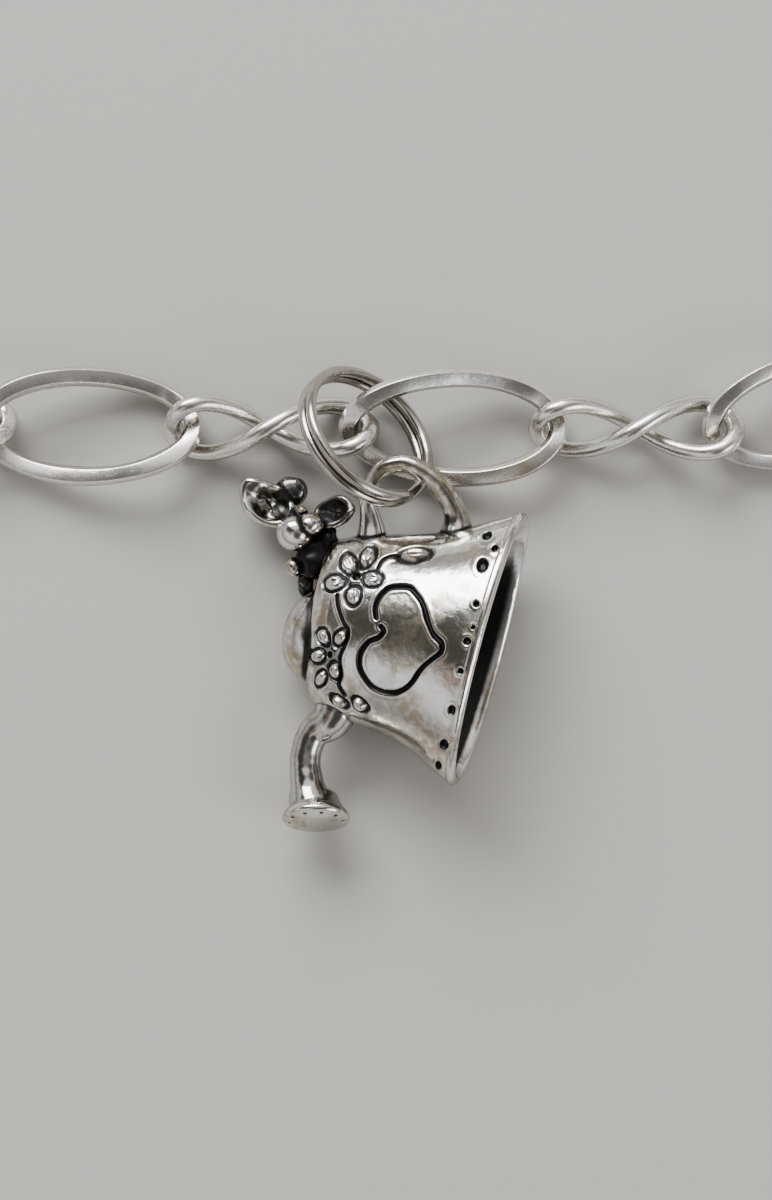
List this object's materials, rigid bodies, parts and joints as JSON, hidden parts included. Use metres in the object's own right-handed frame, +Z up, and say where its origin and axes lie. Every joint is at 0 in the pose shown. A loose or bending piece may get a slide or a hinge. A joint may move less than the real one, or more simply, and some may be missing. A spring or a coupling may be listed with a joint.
{
  "type": "charm bracelet",
  "caption": "Silver chain bracelet of long flat-wire ovals and crossed figure-eight links, closed as a loop, with a cast watering can charm on a split ring.",
  "frame": {"origin": "on the surface that the bracelet lies on, under the middle of its outline", "axes": "+Z up from the surface, +X along the front run of the chain, +Y from the charm toward the clasp"},
  "size_m": [0.0734, 0.0594, 0.0069],
  "materials": {
    "bright_silver": "polished silver wire, lightly hammered",
    "warm_silver": "polished silver wire, slightly tarnished",
    "oxidised_silver": "cast silver, oxidised black in its recesses"
  },
  "bodies": {
    "root": {"oval_link_1": "bright_silver", "oval_link_2": "bright_silver", "oval_link_3": "bright_silver", "oval_link_4": "bright_silver", "oval_link_5": "bright_silver", "oval_link_6": "bright_silver", "oval_link_7": "bright_silver", "oval_link_8": "bright_silver", "oval_link_9": "bright_silver", "oval_link_10": "bright_silver", "oval_link_11": "bright_silver", "figure_eight_link_1": "bright_silver", "figure_eight_link_2": "bright_silver", "figure_eight_link_3": "bright_silver", "figure_eight_link_4": "bright_silver", "figure_eight_link_5": "bright_silver", "figure_eight_link_6": "bright_silver", "figure_eight_link_7": "bright_silver", "figure_eight_link_8": "bright_silver", "figure_eight_link_9": "bright_silver", "figure_eight_link_10": "bright_silver", "jump_ring": "bright_silver", "clasp": "bright_silver", "split_ring": "warm_silver", "watering_can": "oxidised_silver"}
  },
  "joints": []
}
